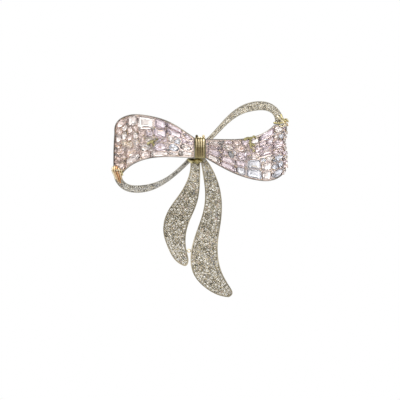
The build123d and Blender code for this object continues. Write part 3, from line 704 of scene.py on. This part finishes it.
def wing_claws(side, claws):
    """Claws of mixed metals round the stones of a wing."""
    builder = Builder(side + "_claws", CLAW_METALS)
    for corner, inward, normal, depth in thin_out(claws, CLAW_GAP):
        tip = corner + inward * 0.05 * MM + normal * depth * 0.42
        lean = (normal + inward * 0.5).normalized()
        size = random.uniform(0.12, 0.17) * MM
        tone = random.choices(range(len(CLAW_METALS)), CLAW_SHARES)[0]
        builder.add(*bead(tip, lean, size, size * 1.7), tone)
    builder.make("bow", "gold", smooth=True)


EDGE_MARGIN_LOW = 2.2 * MM
EDGE_MARGIN_HIGH = 2.0 * MM
EDGE_SEARCH = 5 * MM
EDGE_SEARCH_STEP = 0.05 * MM
EDGE_OVERHANG = 0.3 * MM
EDGE_SIDES = 10


def edge_stones():
    """Small round stones that overhang the outer edge of the right wing at uneven steps."""
    low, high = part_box("right_wing_frame")
    surface = surface_of("right_wing_frame")
    stones = Builder("right_edge_stones", WING_GEMS)
    cups = Builder("right_edge_cups", [SEAT, GOLD])
    z = low.z + EDGE_MARGIN_LOW
    while z < high.z - EDGE_MARGIN_HIGH:
        size = random.uniform(0.34, 0.62) * MM
        edge = high.x
        while front_of(surface, edge, z, 0) is None and edge > high.x - EDGE_SEARCH:
            edge -= EDGE_SEARCH_STEP
        front = front_of(surface, edge - 0.3 * MM, z, 0.2 * MM)
        if front is not None:
            normal = Vector((random.uniform(0.0, 0.45), -1, random.uniform(-0.25, 0.25))).normalized()
            x = min(edge - size * random.uniform(0.1, 0.8), high.x + EDGE_OVERHANG - size)
            centre = Vector((x, front, z)) + normal * size * 0.75
            rings = small_rings(centre, normal, size, EDGE_SIDES)
            stones.add(*brilliant(rings, normal), random.choice([CLEAR, CLEAR, LAVENDER, LAVENDER, ROSE]))
            for k in range(4):
                turn = (k + 0.5) * math.pi / 2 + random.uniform(-0.3, 0.3)
                spot = centre + Vector((math.cos(turn), 0, math.sin(turn))) * size
                cups.add(*bead(spot, normal, 0.13 * MM, 0.24 * MM), random.choice([0, 0, 1]))
        z += size * random.uniform(1.9, 2.6)
    stones.make("bow", "wing_stone")
    cups.make("bow", "gold", smooth=True)


# ---------------------------------------------------------------- pave


def pave_crown(table, girdle, lower, normal):
    """Facets of a small brilliant from its table down to its girdle, with a flat back."""
    n = len(table)
    top = between(girdle, table, 0.9, 1.0, normal)
    mids = between(middles(girdle), middles(table), 0.42, 0.6, normal)
    points = top + mids + girdle + lower
    t, m, g, b = (k * n for k in range(4))
    faces = [[t + i for i in range(n)], [b + i for i in reversed(range(n))]]
    for i in range(n):
        j = (i + 1) % n
        faces += [
            [t + j, t + i, m + i],
            [t + i, g + i, m + i],
            [t + j, m + i, g + j],
            [m + i, g + i, g + j],
            [g + j, g + i, b + i, b + j],
        ]
    return points, faces


def foil_tent(girdle, lower, normal):
    """Folded mirror foil inside a stone, which stands for the facets of its pavilion and carries their
    painted reflections.
    """
    n = len(lower)
    centre = mean(lower)
    rise = (girdle[0] - lower[0]).dot(normal)
    ring = [centre + (p - centre) * 0.97 + normal * rise * 0.12 for p in lower]
    inner = [centre + (p - centre) * 0.5 + normal * rise * 1.15 for p in middles(lower)]
    peak = centre + normal * rise * 0.75
    faces = []
    for i in range(n):
        j = (i + 1) % n
        faces += [[i, j, n + i], [n + i, j, n + j], [n + i, n + j, 2 * n]]
    return ring + inner + [peak], faces


def painted_glint_mood(name, centre, box):
    """Bright, mixed, deep or rose painted reflections: the tails' tips are painted the brightest, then the
    right ribbon.
    """
    up = shares(centre, box)[1]
    bright, deep = 40, 42
    if name == "right_band":
        bright, deep = 80, 26
    elif name == "left_band":
        bright, deep = 62, 34
    elif up < 0.2:
        bright, deep = 110, 14
    elif up > 0.85:
        bright, deep = 60, 32
    drift = noise.noise(centre * 120)
    weights = [bright, 30, deep - 10 * drift, max(drift, 0.0) * 60]
    return random.choices(["bright", "mixed", "deep", "rose"], weights)[0]


# Radii of the pave stones, and the distances between their middles
BAND_STONE = 0.31 * MM
BAND_PITCH = 0.72 * MM
TAIL_STONE = 0.42 * MM
TAIL_PITCH = 0.92 * MM
BEAD_GAP = 0.24 * MM


def setting_beads(name, places, radius, pitch):
    """Metal beads in the hollows between neighbouring stones, clear of every stone."""
    beads = Builder("beads_" + name, [BEAD_GOLD, BEAD_DARK])
    spots = []
    reach = pitch * 0.6
    for a, (p, up) in enumerate(places):
        for q, _ in places[a + 1:]:
            gap = (q - p).length
            if gap > pitch * 1.3:
                continue
            side = up.cross(q - p).normalized()
            height = math.sqrt(max(reach ** 2 - gap ** 2 / 4, 0))
            spots += [((p + q) / 2 + side * height, up), ((p + q) / 2 - side * height, up)]
    centres = np.array([tuple(p) for p, _ in places])
    for spot, up in thin_out(spots, BEAD_GAP):
        nearest = np.sqrt(((centres - np.array(spot)) ** 2).sum(1)).min()
        if nearest < radius * 1.04:
            continue
        size = random.uniform(0.085, 0.125) * MM
        tone = 0 if random.random() < 0.75 else 1
        beads.add(*bead(spot + up * 0.02 * MM, up, size, size * 1.5), tone)
    beads.make("bow", "gold", smooth=True)


def pave(name, radius, pitch):
    """The pave stones of a plate, the foil with painted reflections inside them, the beads between them and
    the stones in the gaps.
    """
    node = name + "_pave"
    stones = whole_stones(node)
    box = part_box(name)
    shell = Builder("cut_" + node, [PAVE_GEM])
    back = Builder("foil_" + node, PAINTED_REFLECTION_FOILS)
    for (table, girdle, lower), normal in stones:
        shell.add(*pave_crown(table, girdle, lower, normal), 0)
        tent, faces = foil_tent(girdle, lower, normal)
        # each facet of the foil takes a painted reflection colour, brighter or darker by where the stone lies
        mood = painted_glint_mood(name, mean(lower), box)
        back.add(tent, faces, random.choices(range(len(PAINTED_REFLECTION_FOILS)), PAINTED_GLINT_MOODS[mood], k=len(faces)))
    shell.make("bow", "pave_stone", node)
    back.make("bow", "pave_stone")
    setting_beads(name, [(mean(girdle), normal) for (_, girdle, _), normal in stones], radius, pitch)
    outlines = [[(p.x, p.z) for p in girdle] for (_, girdle, _), _ in stones]
    fill_gaps(name, name, outlines, PAVE_FILL, PAVE_ACCENTS, spark_tint)


for side in ("left", "right"):
    claws, outlines = wing_stones(side)
    wing_claws(side, claws)
    fill_gaps(side, side + "_wing_frame", outlines, WING_FILL, WING_GEMS, accent_tint)
    twigs(side)
    pave(side + "_band", BAND_STONE, BAND_PITCH)
    pave(side + "_tail", TAIL_STONE, TAIL_PITCH)
edge_stones()


# ---------------------------------------------------------------- knot and clips


# The line of the knot's ribs, from behind over the top to the bottom: how far forward, and how high
WRAP_DEPTHS = (0.0, 0.35, 0.62, 0.82, 0.94, 0.985, 0.985, 0.96, 0.92, 0.87, 0.82)
WRAP_HEIGHTS = (1.0, 1.0, 0.985, 0.93, 0.85, 0.74, 0.6, 0.45, 0.3, 0.15, 0.0)
WRAP_STEPS = 60
WRAP_RIBS = 4
WRAP_OVER_CORE = 0.42 * MM
RIB_ARC = 10
RIB_HEIGHT = 0.44 * MM
RIB_SINK = 0.75 * MM
RIB_TAPER = 0.2
TAPER_FROM = 0.3
RIB, GROOVE_SHADE, CREST_SHADE = range(3)

# Steps along the ribs where their crests are painted darker: a painted shadow at the shoulder, and painted
# shade at the foot
SHOULDER_STEPS = range(19, 24)
FOOT_STEPS = range(41, WRAP_STEPS)


def wrap_line(low, high, top):
    """The path that the crests of the ribs follow, in the plane across the knot."""
    line = []
    for step in range(WRAP_STEPS + 1):
        k = step / WRAP_STEPS * (len(WRAP_DEPTHS) - 1)
        i = min(int(k), len(WRAP_DEPTHS) - 2)
        t = k - i
        t = t * t * (3 - 2 * t) * 0.35 + t * 0.65
        depth = WRAP_DEPTHS[i] + (WRAP_DEPTHS[i + 1] - WRAP_DEPTHS[i]) * t
        height = WRAP_HEIGHTS[i] + (WRAP_HEIGHTS[i + 1] - WRAP_HEIGHTS[i]) * t
        line.append(Vector((0, high.y + (low.y - high.y) * depth, low.z + (top - low.z) * height)))
    return line


def knot_wrap():
    """Cast band round the knot: four rounded ribs that roll over the top and draw in towards the bottom, with
    painted shade in the grooves between them, at the shoulder and at the foot.
    """
    low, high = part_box("knot_wrap")
    core_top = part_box("knot_core")[1].z
    builder = Builder("cast_knot_wrap", [KNOT_GOLD, KNOT_GROOVE_SHADE, KNOT_CREST_SHADE])
    line = wrap_line(low, high, core_top + WRAP_OVER_CORE)
    middle = (low.x + high.x) / 2
    n = RIB_ARC + 3
    for rib in range(WRAP_RIBS):
        points, faces, tones = [], [], []
        for k, p in enumerate(line):
            along = (line[min(k + 1, WRAP_STEPS)] - line[max(k - 1, 0)]).normalized()
            out = Vector((0, along.z, -along.y))
            share = k / WRAP_STEPS
            taper = RIB_TAPER * max(share - TAPER_FROM, 0) / (1 - TAPER_FROM)
            width = (high.x - low.x) / WRAP_RIBS * (1.0 - taper)
            x = middle + (rib - (WRAP_RIBS - 1) / 2) * width
            points.append(Vector((x - width / 2, 0, 0)) + p - out * RIB_SINK)
            for i in range(RIB_ARC + 1):
                turn = math.pi * (1 - i / RIB_ARC)
                side = Vector((x + math.cos(turn) * width / 2, 0, 0))
                points.append(side + p + out * (math.sin(turn) * RIB_HEIGHT - RIB_HEIGHT))
            points.append(Vector((x + width / 2, 0, 0)) + p - out * RIB_SINK)
        for k in range(WRAP_STEPS):
            crest = CREST_SHADE if k in FOOT_STEPS or k in SHOULDER_STEPS else RIB
            for i in range(n - 1):
                faces.append([k * n + i, k * n + i + 1, (k + 1) * n + i + 1, (k + 1) * n + i])
                # the sides of each rib take the painted groove shade, the crest the rib gold or its painted
                # shade
                tones.append(GROOVE_SHADE if i <= 2 or i >= n - 4 else crest)
        faces += [list(range(n)), [WRAP_STEPS * n + i for i in reversed(range(n))]]
        # the ends of the ribs are painted with the groove shade too
        tones += [GROOVE_SHADE, GROOVE_SHADE]
        builder.add(points, faces, tones)
    # the left ear is painted dark with the groove shade, the right ear takes the rib gold
    for x, tone in ((low.x + 0.48 * MM, GROOVE_SHADE), (high.x - 0.48 * MM, RIB)):
        ear = Vector((x, low.y + 1.1 * MM, high.z - 0.42 * MM))
        builder.add(*bead(ear, Vector((0, 0, 1)), 0.4 * MM, 0.41 * MM), tone)
    builder.make("bow", "gold", "knot_wrap", smooth=True)


CLIP_METALS = [GOLD_WARM, PALE_GOLD, COPPER, GOLD_OLIVE]

# Strands of the two clips: places across and up from the clip's middle, and the radius of each end, all in
# millimetres, and which of CLIP_METALS it has
CLIP_STRANDS = {
    "left": [
        ([(-0.9, 1.7), (-1.1, 0.9), (-0.5, -0.3), (0.0, -1.5)], 0.34, 0.2, 1),
        ([(-0.3, 1.9), (-0.5, 0.6), (0.2, -0.9), (0.7, -2.3)], 0.4, 0.24, 0),
        ([(0.3, 2.0), (0.2, 0.6), (0.8, -0.8), (1.3, -2.6)], 0.36, 0.2, 2),
        ([(0.9, 1.9), (0.9, 0.7), (1.3, -0.4), (1.5, -1.6)], 0.36, 0.22, 0),
        ([(1.5, 1.3), (1.6, 0.5), (1.9, -0.4)], 0.3, 0.2, 3),
        ([(-0.6, 1.2), (0.6, 1.0), (1.9, 0.9)], 0.26, 0.22, 1),
    ],
    "right": [
        ([(-2.0, 1.9), (-1.3, 1.0), (-0.3, 0.3), (0.3, -0.9)], 0.34, 0.24, 1),
        ([(-0.9, 2.2), (-0.5, 1.1), (0.4, 0.4), (0.9, 0.5)], 0.3, 0.24, 3),
        ([(-2.8, -0.1), (-1.8, -0.3), (-0.8, -0.1), (0.2, 0.2)], 0.34, 0.26, 3),
        ([(-1.5, -0.6), (-0.9, -1.2), (-0.2, -1.1), (0.2, -0.5), (-0.3, 0.0), (-1.0, -0.1)], 0.24, 0.18, 1),
        ([(0.1, 0.1), (0.8, -0.3), (1.0, -0.9)], 0.3, 0.2, 0),
        ([(0.4, 1.0), (0.9, 0.8), (1.1, 0.2)], 0.28, 0.2, 3),
    ],
}


def clip(side):
    """Cast clip at a fold: strands that lie side by side or cross, with a bud on each."""
    node = side + "_fold_clip"
    low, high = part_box(node)
    middle = (low + high) / 2
    builder = Builder("cast_" + node, CLIP_METALS)
    for points, thick, thin, tone in CLIP_STRANDS[side]:
        line = []
        for k, (across, up) in enumerate(points):
            depth = low.y + (0.4 + 0.55 * (2 * k / (len(points) - 1) - 1) ** 2) * MM
            line.append((middle.x + across * MM, depth, middle.z + up * MM))
        line = smooth_line(line)
        builder.add(*strand(line, thick * MM, thin * MM), tone)
        spot = line[len(line) // 3]
        size = random.uniform(0.2, 0.3) * MM
        builder.add(*bead(spot + Vector((0.1 * MM, -thick * MM, 0)), Vector((0.2, -1, 0.3)), size, size), 1)
    builder.make("bow", "gold", node, smooth=True)


knot_wrap()
clip("left")
clip("right")


# ---------------------------------------------------------------- metal of the CAD nodes


def paint(node, *materials):
    """Give a CAD node these material slots in place of its own."""
    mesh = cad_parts[node].data
    mesh.materials.clear()
    for material in materials:
        mesh.materials.append(material)
    return mesh


# A plate's rim is the front face that comes this near to its widest place, in millimetres
RIM_WITHIN = 0.05


def shares_edge(a, b):
    """Whether two CAD faces have at least two corners in common."""
    return len(a & b) > 1


def cad_faces(mesh):
    """Which CAD face each polygon belongs to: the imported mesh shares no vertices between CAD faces."""
    joined = list(range(len(mesh.vertices)))

    def root(k):
        while joined[k] != k:
            joined[k] = joined[joined[k]]
            k = joined[k]
        return k

    for polygon in mesh.polygons:
        first = root(polygon.vertices[0])
        for other in polygon.vertices[1:]:
            joined[root(other)] = first
    return [root(polygon.vertices[0]) for polygon in mesh.polygons]


def paint_plate(node, floor, rim, wall):
    """Give a plate's rim, outer edge and back a material each, and everything else the floor material."""
    mesh = paint(node, floor, rim, wall, BACK_METAL)
    owners = cad_faces(mesh)
    area, facing, spots = {}, {}, {}
    for k, polygon in zip(owners, mesh.polygons):
        area[k] = area.get(k, 0) + polygon.area
        facing[k] = facing.get(k, 0) + polygon.area * polygon.normal.y
        corners = (mesh.vertices[v].co for v in polygon.vertices)
        spots.setdefault(k, set()).update(tuple(round(c / MM, 4) for c in corner) for corner in corners)
    back = max(spots, key=lambda k: facing[k])
    upright = [k for k in spots if abs(facing[k]) < 0.3 * area[k]]
    walls = {k for k in upright if shares_edge(spots[k], spots[back])}
    fronts = [k for k in spots if facing[k] < -0.5 * area[k]]
    widest = max(max(p[0] for p in spots[k]) for k in fronts)
    rims = {k for k in fronts if max(p[0] for p in spots[k]) > widest - RIM_WITHIN}
    edges = {w for w in walls if any(shares_edge(spots[w], spots[k]) for k in rims)}
    for k, polygon in zip(owners, mesh.polygons):
        if k in rims:
            polygon.material_index = 1
        elif k in edges:
            polygon.material_index = 2
        else:
            polygon.material_index = 3 if k == back else 0


paint_plate("left_wing_frame", SEAT, RIM, RIM)
paint_plate("right_wing_frame", SEAT, RIM, RIM)
for node in ("left_tail", "right_tail"):
    paint_plate(node, FLOOR_TAIL, RIM_TAIL, RIM)
paint_plate("left_band", FLOOR_COOL, RIM_BAND, RIM)
paint_plate("right_band", FLOOR_PALE, RIM_BAND, RIM)
paint("knot_core", GOLD_OLIVE)
paint("knot_leaf", GOLD_OLIVE)
paint("tail_link_ring", GOLD)
for node in ("back_bar", "hinge_bracket", "catch_housing", "catch_rotor"):
    paint(node, GOLD)
paint("pin_stem", STEEL)
paint("hinge_rivet", STEEL)


# ---------------------------------------------------------------- floor, light and camera


FLOOR_HALF = 1.6
FLOOR_DOWN = -0.3


def stage_floor():
    """Plain pale floor, well below the object."""
    material, tree, shader = new_material("floor")
    tone = noise_node(tree, 3)
    colour = ramp(tree, tone.outputs["Fac"], [(0.3, (0.88, 0.88, 0.88)), (0.7, (0.93, 0.93, 0.93))])
    tree.links.new(colour.outputs["Color"], shader.inputs["Base Color"])
    shader.inputs["Roughness"].default_value = 0.8
    mesh = bpy.data.meshes.new("stage_floor")
    corners = [(a * FLOOR_HALF, b * FLOOR_HALF, 0) for a, b in ((-1, -1), (1, -1), (1, 1), (-1, 1))]
    mesh.from_pydata(corners, [], [[0, 1, 2, 3]])
    mesh.materials.append(material)
    floor = bpy.data.objects.new("stage_floor", mesh)
    floor.location = (0, 0, FLOOR_DOWN)
    bpy.context.scene.collection.objects.link(floor)


LIGHT_AIM = Vector((0, 0, -0.01))


def area_light(name, place, size, power):
    """Soft rectangular light of a size in metres and a power in watts, aimed at the bow."""
    data = bpy.data.lights.new(name, "AREA")
    data.shape = "RECTANGLE"
    data.size, data.size_y = size
    data.energy = power
    light = bpy.data.objects.new(name, data)
    light.location = place
    direction = LIGHT_AIM - Vector(place)
    light.rotation_euler = direction.to_track_quat("-Z", "Y").to_euler()
    bpy.context.scene.collection.objects.link(light)


def studio_world():
    """White to the camera; for everything else soft bright and darker zones, as in a light tent."""
    world = bpy.data.worlds.new("studio")
    world.use_nodes = True
    bpy.context.scene.world = world
    tree = world.node_tree
    tree.nodes.clear()
    out = tree.nodes.new("ShaderNodeOutputWorld")
    seen = tree.nodes.new("ShaderNodeBackground")
    seen.inputs["Color"].default_value = (1, 1, 1, 1)
    lit = tree.nodes.new("ShaderNodeBackground")
    mix = tree.nodes.new("ShaderNodeMixShader")
    path = tree.nodes.new("ShaderNodeLightPath")
    place = tree.nodes.new("ShaderNodeTexCoord")
    zones = tree.nodes.new("ShaderNodeTexNoise")
    zones.inputs["Scale"].default_value = 2.6
    zones.inputs["Detail"].default_value = 1.0
    tree.links.new(place.outputs["Generated"], zones.inputs["Vector"])
    stops = [
        (0.36, (0.2, 0.19, 0.18)),
        (0.46, (0.6, 0.585, 0.57)),
        (0.55, (1.05, 1.02, 1.0)),
        (0.7, (1.5, 1.44, 1.42)),
    ]
    colour = ramp(tree, zones.outputs["Fac"], stops)
    tree.links.new(colour.outputs["Color"], lit.inputs["Color"])
    lit.inputs["Strength"].default_value = 1.25
    tree.links.new(path.outputs["Is Camera Ray"], mix.inputs["Fac"])
    tree.links.new(lit.outputs["Background"], mix.inputs[1])
    tree.links.new(seen.outputs["Background"], mix.inputs[2])
    tree.links.new(mix.outputs["Shader"], out.inputs["Surface"])


def camera():
    """Camera straight in front, with a long lens as in the photograph."""
    data = bpy.data.cameras.new("camera")
    data.sensor_width = SENSOR_WIDTH
    data.lens = SENSOR_WIDTH * CAMERA_DISTANCE / WIDTH_SEEN
    data.clip_start = 0.01
    data.clip_end = 20
    eye = bpy.data.objects.new("camera", data)
    eye.location = (CENTRE_X, CAMERA_PLANE_Y - CAMERA_DISTANCE, CENTRE_Z)
    eye.rotation_euler = (math.radians(90), 0, 0)
    bpy.context.scene.collection.objects.link(eye)
    bpy.context.scene.camera = eye


stage_floor()
studio_world()
area_light("key", (-0.35, -0.55, 0.55), (0.35, 0.35), 2.2)
area_light("fill", (0.6, -0.6, 0.15), (0.4, 0.6), 1.2)
area_light("back", (0.1, 0.6, 0.5), (0.6, 0.4), 1.5)
camera()
bpy.context.scene.view_settings.view_transform = "Standard"
